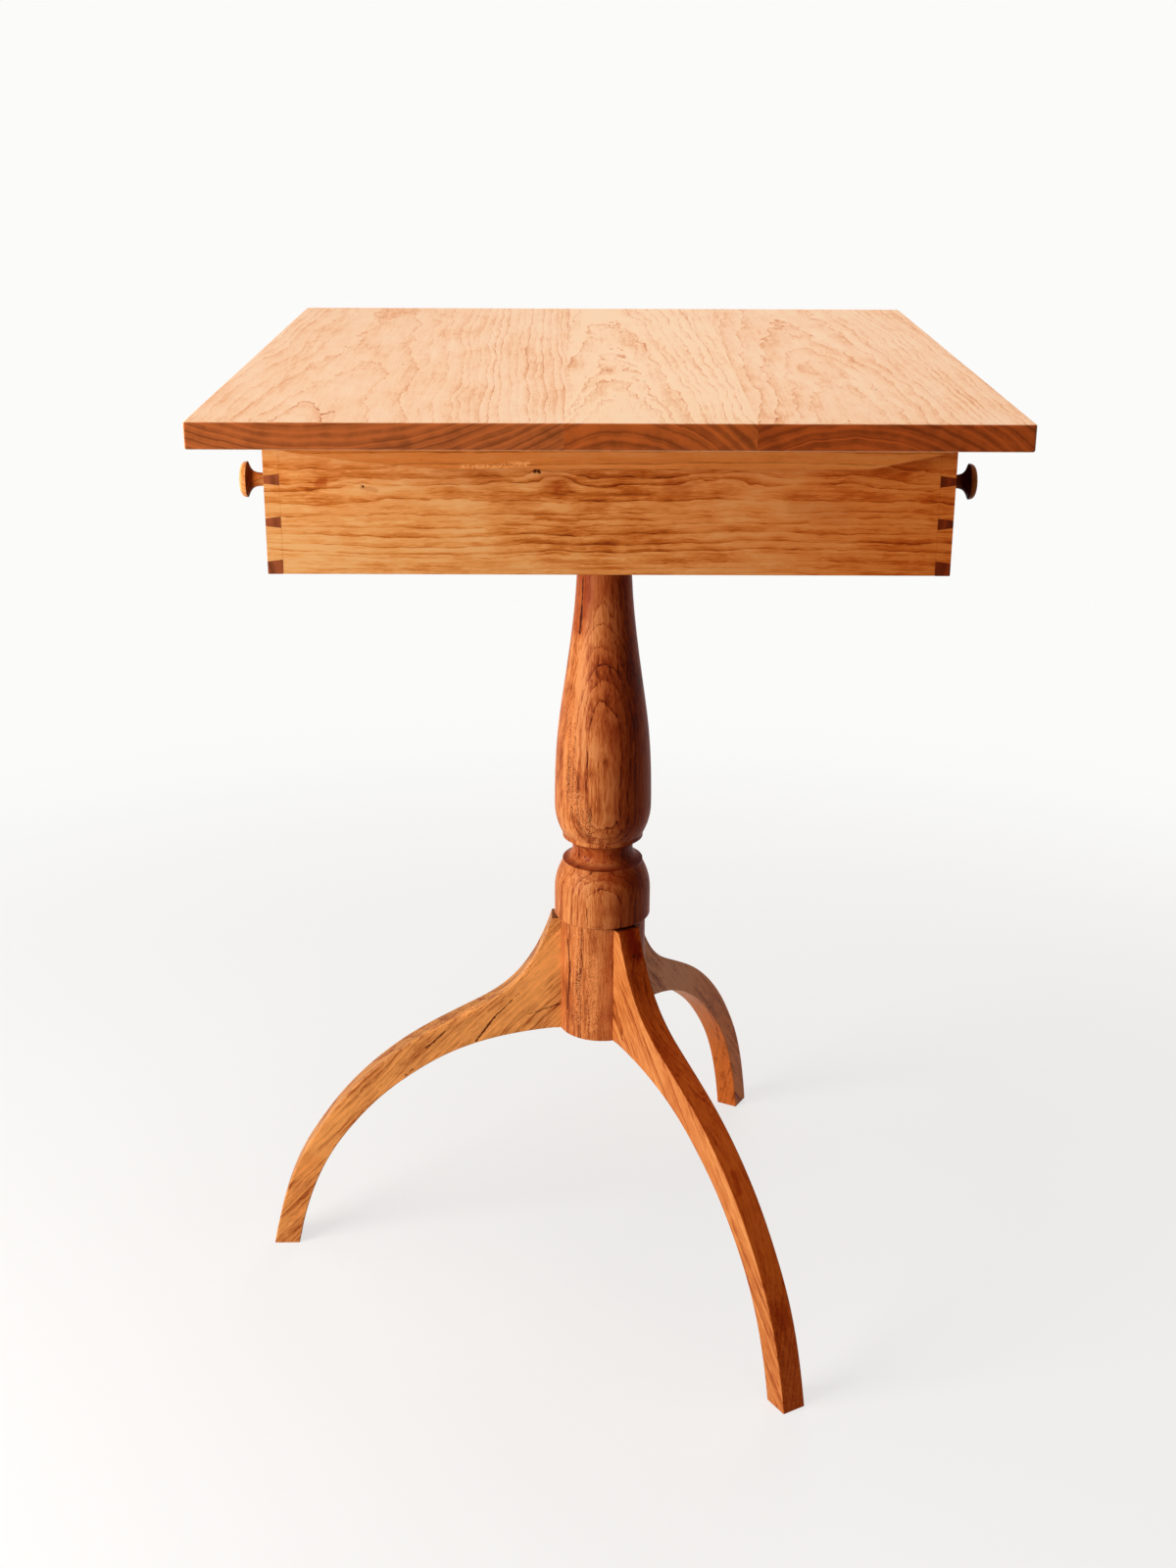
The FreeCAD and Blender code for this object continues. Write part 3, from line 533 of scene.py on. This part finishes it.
def dull_iron(name, body):
    """Hand-filed iron gone dull, with darker stains."""
    material = bpy.data.materials.new(name)
    material.use_nodes = True
    finish = Finish(material.node_tree)
    stand = finish.scaled(finish.add("ShaderNodeTexCoord", output="Object"), 1 / MM)
    stain = finish.patches(stand, 3.0, 3.0)
    filed = finish.patches(stand, 0.3, 2.0)
    base = finish.blend(finish.step(stain, 0.35, 0.7), body, tuple(0.35 * level for level in body))
    bump = finish.add("ShaderNodeBump", None, {"Strength": 0.4, "Distance": 0.05 * MM, "Height": filed})
    values = {"Base Color": base, "Metallic": 1.0, "Roughness": stain * 0.3 + 0.35, "Normal": bump}
    surface = finish.add("ShaderNodeBsdfPrincipled", None, values)
    finish.add("ShaderNodeOutputMaterial", None, {"Surface": surface})
    return material


# Pieces


def dress(node, material):
    """Gives a piece its material, in place of the plain one."""
    node.data.materials.clear()
    node.data.materials.append(material)


def body_of(name):
    return next(body for body, nodes in frame["record"]["behaviour"]["bodies"].items() if name in nodes)


# Boards: what is merged, what counts as an arris or as part of the rim, and what is shaded smooth
MERGE_WITHIN = 0.01 * MM
FLAT_WITHIN = math.radians(1)
ARRIS_FROM = math.radians(40)
SHORTEST_ARRIS = 2.5 * MM
SHORTEST_RIM = 40 * MM
SMOOTH_UP_TO = math.radians(50)


def is_arris(edge, shortest):
    """Whether an edge is a straight outer corner, and not part of a round hole's rim."""
    return (
        len(edge.link_faces) == 2
        and edge.is_convex
        and edge.calc_face_angle() > ARRIS_FROM
        and edge.calc_length() > shortest
    )


def eased(name, material, ease, rim_ease=0.0, rim_height=None):
    """A copy of a piece with its arrises eased, more so along a lower rim, in the piece's place."""
    shape = bmesh.new()
    shape.from_mesh(frame["nodes"][name].data)
    bmesh.ops.remove_doubles(shape, verts=shape.verts, dist=MERGE_WITHIN)
    bmesh.ops.dissolve_limit(shape, angle_limit=FLAT_WITHIN, verts=shape.verts, edges=shape.edges)
    if rim_height is not None:
        low = [edge for edge in shape.edges if is_arris(edge, SHORTEST_RIM)
               and max(corner.co.z for corner in edge.verts) < rim_height]
        bmesh.ops.bevel(shape, geom=low, offset=rim_ease, segments=3, profile=0.5, affect="EDGES",
                        material=-1)
    sharp = [edge for edge in shape.edges if is_arris(edge, SHORTEST_ARRIS)]
    bmesh.ops.bevel(shape, geom=sharp, offset=ease, segments=2, profile=0.5, affect="EDGES", material=-1,
                    clamp_overlap=True)
    mesh = bpy.data.meshes.new(name + "_board")
    shape.to_mesh(mesh)
    shape.free()
    mesh.shade_smooth()
    mesh.set_sharp_from_angle(angle=SMOOTH_UP_TO)
    board = bpy.data.objects.new(name + "_board", mesh)
    bpy.context.scene.collection.objects.link(board)
    board.modifiers.new("soft_arrises", "WEIGHTED_NORMAL").keep_sharp = True
    dress(board, material)
    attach(board, body_of(name))
    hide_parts(name)
    return board


# Turns that take Z to the grain, in degrees
GRAIN_ALONG_X = (0, 90, 0)
GRAIN_ALONG_Y = (-90, 0, 0)
GRAIN_ALONG_Z = (0, 0, 0)


class STAND_OT_top_boards(bpy.types.Operator):
    """Finish the three boards of the top"""

    bl_idname = "stand.top_boards"
    bl_label = "Top boards"

    def execute(self, context):
        look = context.scene.stand_look.top
        shades = shades_of(look)
        # Each board: its pith's place across and above the floor, the slope of its grain, its rings,
        # waver and share of the figure, and its pin knots
        boards = {
            "top_board_left": ((-0.156, 0.961), -89.3, 2.1, 1.0, 1.0, (((-127, -47, 711), 1.2),)),
            "top_board_middle": ((0.016, 0.621), -91.3, 3.0, 2.2, 0.85,
                                 (((34, -116, 711), 0.9), ((14, -175, 711), 0.8))),
            "top_board_right": ((0.150, 0.575), -90.8, 2.9, 2.0, 1.0,
                                (((120, -46, 711), 0.9), ((199, -44, 711), 0.8), ((179, -145, 711), 0.9))),
        }
        colours = {
            "top_board_left": shades,
            "top_board_middle": dict(shades, body=tuple(look.light), end=tuple(look.end_middle)),
            "top_board_right": dict(shades, end=tuple(look.end_right)),
        }
        for name, ((side, height), slope, spacing, jag, share, knots) in boards.items():
            material = wood(name + "_wood", colours[name], (side, 0.0, height), (slope, 0, 0), spacing,
                            share * look.figure, wander=4.0, jag=jag, growth=0.15, lines=0.35, streak=0.25,
                            blotch=0.35, knots=knots)
            dress(frame["nodes"][name], material)
        return {"FINISHED"}


class STAND_OT_column(bpy.types.Operator):
    """Finish the turned column"""

    bl_idname = "stand.column"
    bl_label = "Column"

    def execute(self, context):
        look = context.scene.stand_look.column
        cracks_and_shadow_gaps = (
            ((-5, -13, 555), (-6, -14, 534), 1.0),
            ((-6, -14, 534), (-7, -15, 515), 1.7),
            ((36, -12, 479), (38, -9, 471), 0.7),
            ((-16, -20, 273), (-14.5, -22, 249), 1.1),
            ((-14.5, -22, 249), (-16.5, -19.5, 214), 1.1),
            ((-5, -20, 349), (-3, -19, 341), 0.7),
            ((-3, -19, 341), (-8.5, -21, 334), 0.7),
            # Painted shadow: a dark line in the gap under the collar's right front edge
            ((20, -31, 288), (37, -19, 288), 4.0),
        )
        stains_and_shade = (
            ((13, -34, 450), (14, -31, 495), 20, 0.45),
            ((22, -34, 415), (20, -34, 445), 9, 0.45),
            ((-8, -12, 520), (-6, -12, 600), 14, 0.8),
            ((-6, -28, 395), (-4, -28, 410), 8, 0.4),
            # Painted shade: darker at the column's top, under the drawers
            ((8, -20, 560), (10, -20, 620), 30, 0.6),
            ((-1.5, -17, 546), (-1.5, -18.3, 530), 7, 0.55),
            ((16, -33, 215), (22, -32, 221), 8, 0.45),
            ((10, -36, 303), (26, -34, 305), 6, 0.4),
            # Painted shade: under the bead on the right of the collar's shoulder, and in the cove, most on
            # its right
            ((13, -31, 330), (38, -22, 322), 8, 0.8),
            ((-10, -12, 346), (34, -12, 346), 18, 0.5),
            ((6, -22, 345), (36, -8, 345), 12, 0.7),
        )
        pale_marks_and_highlights = (
            ((0, -38, 205), (0, -38, 278), 36, 0.2),
            ((-9, -27, 208), (-9, -27, 280), 5, 0.45),
            ((3, -32.2, 206), (2.5, -32.3, 262), 6, 0.45),
            ((-15, -22, 454), (-15, -26, 385), 11, 0.45),
            ((-9, -31, 392), (-1, -34, 368), 9, 0.5),
        )
        swells = (((13, -33, 470), 80, 1.8),)
        # Painted shade: the column turns darker and redder towards its right, away from the window
        material = wood("column_wood", shades_of(look), (0.006, 0.16, 0.4), (0.3, 0, 0), 2.7, look.figure,
                        jag=1.7, growth=0.22, lines=0.8, streak=0.9, blotch=1.2, cracks_and_shadow_gaps=cracks_and_shadow_gaps,
                        stains_and_shade=stains_and_shade, pale_marks_and_highlights=pale_marks_and_highlights, swells=swells, tint_across_x=(-5.0, 35.0, DEEP_PAINTED_SHADE))
        dress(frame["nodes"]["column"], material)
        return {"FINISHED"}


# Slope of the legs' grain in degrees, and how bright the early wood of the left leg and the painted
# sheen colour of the back leg are, as a share of their main colours
LEG_SLOPE = 43
GOLDEN_PALE = 1.35
SHEEN_MAUVE_PALE = 1.15


class STAND_OT_legs(bpy.types.Operator):
    """Finish the three legs, each with its grain along its slope"""

    bl_idname = "stand.legs"
    bl_label = "Legs"

    def execute(self, context):
        look = context.scene.stand_look.legs
        shades = shades_of(look)
        golden = dict(shades, body=tuple(look.golden),
                      pale=tuple(GOLDEN_PALE * level for level in look.golden))
        # Painted sheen: the back leg is a greyer, paler copy of the leg wood
        sheen_mauve = dict(shades, body=tuple(look.sheen_mauve),
                     pale=tuple(SHEEN_MAUVE_PALE * level for level in look.sheen_mauve))
        front_dark_marks = (
            ((31, -34, 284), (36, -39, 270), 10, 0.9),
            ((33, -34, 284), (36, -38, 270), 7, 0.8),
            ((104, -158, 152), (108, -168, 143), 3.5, 0.7),
            ((137, -207, 72), (139, -211, 62), 7, 0.6),
            ((52, -75, 217), (65, -99, 202), 7, 0.3),
            ((60, -100, 185), (97, -161, 132), 13, 0.33),
            ((133, -220, 22), (137, -228, 1), 8, 0.45),
        )
        # Painted shadow: the black gap between the collar and the front leg's head
        head_gap_shadow = (((23, -29.5, 287), (38, -21, 287), 5.0),)
        left_cracks = (
            ((-88, -11, 182), (-73, -11, 203), 1.1),
            ((-73, -11, 203), (-54, -11, 223), 0.7),
            ((-127, -12, 176), (-112, -12, 190), 0.9),
            ((-145, -12, 151), (-138, -12, 158), 0.8),
            ((-46, -11, 205), (-23, -10, 214), 0.8),
        )
        # Painted highlight: a pale speckled band along the left leg's upper edge
        left_edge_highlights = (
            ((-27, -10, 270), (-46, -10, 246), 12, 0.35),
            ((-46, -10, 246), (-92, -9, 208), 8, 0.35),
            ((-92, -9, 208), (-125, -11, 191), 7, 0.35),
        )
        legs = {
            "leg_left": (golden, (-0.02, 0.05, 0.0), 0, 4.6, 0.9, LEFT_EDGE_TINT, {
                "cracks_and_shadow_gaps": left_cracks,
                "stains_and_shade": (((-236, -14, 30), (-222, -14, 72), 14, 0.25),),
                "pale_marks_and_highlights": left_edge_highlights,
            }),
            # Painted shade: the front leg's curved outer edges are darker and redder
            "leg_front": (shades, (0.10, -0.06, 0.15), 122, 3.6, 1.0, FRONT_EDGE_SHADE, {
                "knots": (((34, -39, 268), 1.2),),
                "stains_and_shade": front_dark_marks,
                "cracks_and_shadow_gaps": head_gap_shadow,
            }),
            "leg_back": (sheen_mauve, (0.12, 0.06, 0.1), -120, 5.0, 0.6, GOLDEN_TINT, {
                "knots": (((62, 74, 196), 1.0), ((106, 155, 129), 1.6), ((72, 93, 194), 1.0)),
                "tint_across_x": (65.0, 125.0, BROWN_TOWARDS_FOOT),
            }),
        }
        for name, (colours, pith, inward, spacing, share, edges, marks) in legs.items():
            turned = math.radians(inward)
            side = (-math.sin(turned), math.cos(turned), 0.0)
            material = wood(name + "_wood", colours, pith, (0, LEG_SLOPE, inward), spacing,
                            share * look.figure, wander=5.0, jag=2.0, growth=0.26, lines=0.25, streak=0.8,
                            blotch=0.9, edge_tint=(side, edges), **marks)
            dress(frame["nodes"][name], material)
        return {"FINISHED"}


# Height above a drawer's lower edge up to which its arrises belong to the rim
RIM_BAND = 3 * MM


class STAND_OT_drawers(bpy.types.Operator):
    """Finish both drawers and ease the arrises of their boards"""

    bl_idname = "stand.drawers"
    bl_label = "Drawers"

    def execute(self, context):
        look = context.scene.stand_look.drawers
        shades = shades_of(look)
        base_lines = [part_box(f"front_drawer_{side}_end")[inner][0] / MM
                      for side, inner in (("left", 1), ("right", 0))]
        stains_and_shade = [((side, -215, 608), (side, -215, 692), 0.6, 0.22) for side in base_lines]
        stains_and_shade += (
            ((-165, -215, 664), (-162, -215, 665), 4.0, 0.8),
            ((-138, -215, 662), (-131, -215, 659.5), 2.4, 0.4),
            ((-24, -215, 667), (-18, -215, 664), 9, 0.3),
            ((-21, -215, 664), (-20, -215, 662), 3.5, 0.4),
            ((48, -215, 664), (56, -215, 661), 7, 0.4),
            ((126, -215, 652), (150, -215, 648), 12, 0.25),
            ((-90, -215, 670), (-60, -215, 668), 10, 0.2),
        )
        # Painted shade: the drawer sides turn redder and darker towards the right, away from the window
        sides = wood("drawer_side_wood", shades, (0.0, -0.135, 0.702), GRAIN_ALONG_X, 3.0, look.figure,
                     wander=5.0, jag=2.2, growth=0.28, lines=0.36, streak=0.5, blotch=1.1,
                     knots=(((-34, -215, 672.2), 1.5), ((-31.8, -215, 672.0), 1.2),
                            ((-138, -215, 662.5), 0.8)),
                     stains_and_shade=stains_and_shade, swells=(((-20, -215, 664), 14, 0.8),),
                     tint_across_x=(-90.0, 240.0, RED_PAINTED_SHADE))
        # Painted shade: the end boards are a darker copy of the sides, keeping the pins' end grain, and
        # darker still towards the right
        shaded_end_colours = {part: tuple(look.end_board_shade * level for level in shade)
                  for part, shade in shades.items()}
        shaded_end_colours["end"] = shades["end"]
        ends = wood("drawer_end_wood", shaded_end_colours, (0.0, 0.0, 0.66), GRAIN_ALONG_Y, 4.2, look.figure,
                    tint_across_x=(-150.0, 200.0, DEEP_PAINTED_SHADE))
        bottoms = wood("drawer_bottom_wood", shaded(tuple(look.pine)), (0.0, 0.0, 0.5), GRAIN_ALONG_X, 5.5,
                       0.7, gloss=0.55)
        for drawer in ("front_drawer", "back_drawer"):
            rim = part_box(drawer + "_outer_side")[0][2] + RIM_BAND
            for piece in ("outer_side", "inner_side"):
                eased(f"{drawer}_{piece}", sides, look.joint_ease, look.rim_ease, rim)
            for piece in ("left_end", "right_end"):
                eased(f"{drawer}_{piece}", ends, look.joint_ease, look.rim_ease, rim)
            eased(drawer + "_bottom", bottoms, look.joint_ease)
            for piece in ("outer_slide", "inner_slide"):
                eased(f"{drawer}_{piece}", sides, look.joint_ease)
        return {"FINISHED"}


class STAND_OT_knobs(bpy.types.Operator):
    """Finish the four turned knobs"""

    bl_idname = "stand.knobs"
    bl_label = "Knobs"

    def execute(self, context):
        look = context.scene.stand_look.knobs
        shades = shades_of(look)
        # Painted shade: the right knobs are a darker, redder copy, and each knob's hollow facing the
        # drawer is darkened
        shadowed = {part: tuple(look.shadowed * level * share for level, share in zip(shade, RED_PAINTED_SHADE))
                    for part, shade in shades.items()}
        sides = {
            "left": (shades, ((1, 0, 0), 0.2, 0.75)),
            "right": (shadowed, ((-1, 0, 0), -0.35, 0.5)),
        }
        for side, (colours, shade_facing) in sides.items():
            material = wood(f"{side}_knob_wood", colours, (0.0, -0.10, 0.62), GRAIN_ALONG_X, 2.2,
                            look.figure, wander=1.2, jag=0.4, gloss=0.36, shade_facing=shade_facing)
            for drawer in ("front_drawer", "back_drawer"):
                dress(frame["nodes"][f"{drawer}_{side}_knob"], material)
        return {"FINISHED"}


class STAND_OT_runners(bpy.types.Operator):
    """Finish the runners and the centre cleat and ease their arrises"""

    bl_idname = "stand.runners"
    bl_label = "Runners and cleat"

    def execute(self, context):
        look = context.scene.stand_look.runners
        pale_marks_and_highlights = (((-78, -229.4, 676.8), (-38, -229.4, 679.6), 2.4, 1.0),)
        material = wood("runner_wood", shades_of(look), (0.0, -0.16, 0.73), GRAIN_ALONG_X, 3.4,
                        look.figure, pale_marks_and_highlights=pale_marks_and_highlights)
        for name in ("front_runner", "back_runner", "centre_cleat"):
            eased(name, material, look.ease)
        return {"FINISHED"}


class STAND_OT_fasteners(bpy.types.Operator):
    """Finish the tenon's wedge and the screws"""

    bl_idname = "stand.fasteners"
    bl_label = "Wedge and screws"

    def execute(self, context):
        look = context.scene.stand_look.fasteners
        maple = wood("wedge_wood", shaded(tuple(look.maple)), (0.02, 0.03, 0.6), GRAIN_ALONG_Z, 1.8, 0.6)
        dress(frame["nodes"]["tenon_wedge"], maple)
        iron = dull_iron("screw_iron", tuple(look.iron))
        for name in ("front_runner_screws", "back_runner_screws", "cleat_screws"):
            dress(frame["nodes"][name], iron)
        return {"FINISHED"}


# Stage: the camera's place, lens and tilt follow the photograph

CAMERA_PLACE = (-0.00385, -1.40779, 0.90948)
CAMERA_LENS = 45.766
CAMERA_DOWN = math.radians(20.1638)
CAMERA_RIGHT = math.radians(0.116)
CAMERA_ROLL = math.radians(0.2152)

KEY_PLACE = (-1.375, -0.825, 0.7)
KEY_WIDTH = 1.0
OVERHEAD_PLACE = (0.0, -0.1, 2.3)
OVERHEAD_WIDTH = 1.8
BACK_PLACE = (0.3, 1.7, 1.3)
BACK_WIDTH = 1.0
UNDER_TOP = (0, 0, 0.5)
FEET = (0, 0, 0)

FLOOR_REACH = 14.0
FLOOR_DROP = 0.2 * MM
# Distances from the stand over which the floor turns into the room, and its bounce fades out
FLOOR_FADE = (0.6, 1.4)
BOUNCE_FADE = (0.35, 0.9)


def soft_light(name, place, target, power, width, mirrored=True):
    """A square soft light that shines from a place towards a target, itself out of sight."""
    light = bpy.data.lights.new(name, "AREA")
    light.energy = power
    light.size = width
    lamp = bpy.data.objects.new(name, light)
    lamp.location = place
    lamp.rotation_euler = (Vector(target) - Vector(place)).to_track_quat("-Z", "Y").to_euler()
    lamp.visible_camera = False
    lamp.visible_glossy = mirrored
    bpy.context.scene.collection.objects.link(lamp)


def lay_floor(look):
    """A wide pale floor that runs out into the room's own colour."""
    shape = bmesh.new()
    bmesh.ops.create_circle(shape, cap_ends=True, segments=96, radius=FLOOR_REACH)
    bmesh.ops.translate(shape, verts=shape.verts, vec=(0, 0, -FLOOR_DROP))
    mesh = bpy.data.meshes.new("floor")
    shape.to_mesh(mesh)
    shape.free()
    floor = bpy.data.objects.new("floor", mesh)
    bpy.context.scene.collection.objects.link(floor)
    material = bpy.data.materials.new("pale_floor")
    material.use_nodes = True
    finish = Finish(material.node_tree)
    seen = finish.seen()
    spot = finish.add("ShaderNodeTexCoord", output="Object")
    distance = finish.vector("LENGTH", spot, output=1)
    out = finish.step(distance, *FLOOR_FADE)
    reach = finish.step(distance, *BOUNCE_FADE)
    body = tuple(look.floor)
    thrown = finish.blend(reach, tuple(look.bounce * level for level in body), (0.0, 0.0, 0.0))
    lit = finish.blend(seen, thrown, body)
    matt = finish.add("ShaderNodeBsdfDiffuse", None, {"Color": lit})
    room = tuple(look.room * level for level in look.fill)
    glowing = finish.blend(seen, room, tuple(look.backdrop))
    bright = finish.add("ShaderNodeEmission", None, {"Color": glowing})
    glow = (1 - out) * (look.glow * seen) + out
    surface = finish.add("ShaderNodeMixShader", None, {0: glow, 1: matt, 2: bright})
    finish.add("ShaderNodeOutputMaterial", None, {"Surface": surface})
    dress(floor, material)


def light_room(look):
    """Even weak light all round, with a pale room in view."""
    world = bpy.data.worlds.new("room")
    world.use_nodes = True
    room = Finish(world.node_tree)
    lit = room.add("ShaderNodeBackground", None, {"Color": (*look.fill, 1), "Strength": look.room})
    shown = room.add("ShaderNodeBackground", None, {"Color": (*look.backdrop, 1)})
    mixed = room.add("ShaderNodeMixShader", None, {0: room.seen(), 1: lit, 2: shown})
    room.add("ShaderNodeOutputWorld", None, {"Surface": mixed})
    bpy.context.scene.world = world


class STAND_OT_stage(bpy.types.Operator):
    """Set out the floor, the lights and the camera"""

    bl_idname = "stand.stage"
    bl_label = "Stage"

    def execute(self, context):
        look = context.scene.stand_look.stage
        lay_floor(look)
        light_room(look)
        soft_light("key_light", KEY_PLACE, UNDER_TOP, look.key, KEY_WIDTH)
        soft_light("overhead_light", OVERHEAD_PLACE, FEET, look.overhead, OVERHEAD_WIDTH)
        soft_light("back_light", BACK_PLACE, UNDER_TOP, look.back, BACK_WIDTH, mirrored=False)
        view = bpy.data.cameras.new("camera")
        view.lens = CAMERA_LENS
        camera = bpy.data.objects.new("camera", view)
        tilt = Matrix.Rotation(math.pi / 2 - CAMERA_DOWN, 4, "X")
        turned = Matrix.Rotation(-CAMERA_RIGHT, 4, "Z") @ tilt @ Matrix.Rotation(CAMERA_ROLL, 4, "Z")
        camera.matrix_world = Matrix.Translation(CAMERA_PLACE) @ turned
        context.scene.collection.objects.link(camera)
        context.scene.camera = camera
        context.scene.view_settings.view_transform = "Standard"
        return {"FINISHED"}


class STAND_PT_looks(bpy.types.Panel):
    """Lists the stand's pieces and their looks"""

    bl_label = "Sewing stand"
    bl_space_type = "VIEW_3D"
    bl_region_type = "UI"
    bl_category = "Sewing stand"

    def draw(self, context):
        look = context.scene.stand_look
        for operator in OPERATORS:
            self.layout.operator(operator.bl_idname)
        for part in LOOKS:
            box = self.layout.box()
            box.label(text=part.capitalize())
            for name in getattr(look, part).__annotations__:
                box.prop(getattr(look, part), name)


LOOKS = ("top", "column", "legs", "drawers", "knobs", "runners", "fasteners", "stage")
GROUPS = (
    TopLook,
    ColumnLook,
    LegLook,
    DrawerLook,
    KnobLook,
    RunnerLook,
    FastenerLook,
    StageLook,
    StandLook,
)
OPERATORS = (
    STAND_OT_stage,
    STAND_OT_top_boards,
    STAND_OT_column,
    STAND_OT_legs,
    STAND_OT_drawers,
    STAND_OT_knobs,
    STAND_OT_runners,
    STAND_OT_fasteners,
)


def register():
    for item in (*GROUPS, *OPERATORS, STAND_PT_looks):
        bpy.utils.register_class(item)
    bpy.types.Scene.stand_look = PointerProperty(type=StandLook)


def unregister():
    del bpy.types.Scene.stand_look
    for item in reversed((*GROUPS, *OPERATORS, STAND_PT_looks)):
        bpy.utils.unregister_class(item)


def main():
    register()
    for operator in OPERATORS:
        group, name = operator.bl_idname.split(".")
        getattr(getattr(bpy.ops, group), name)()


if __name__ == "__main__":
    main()
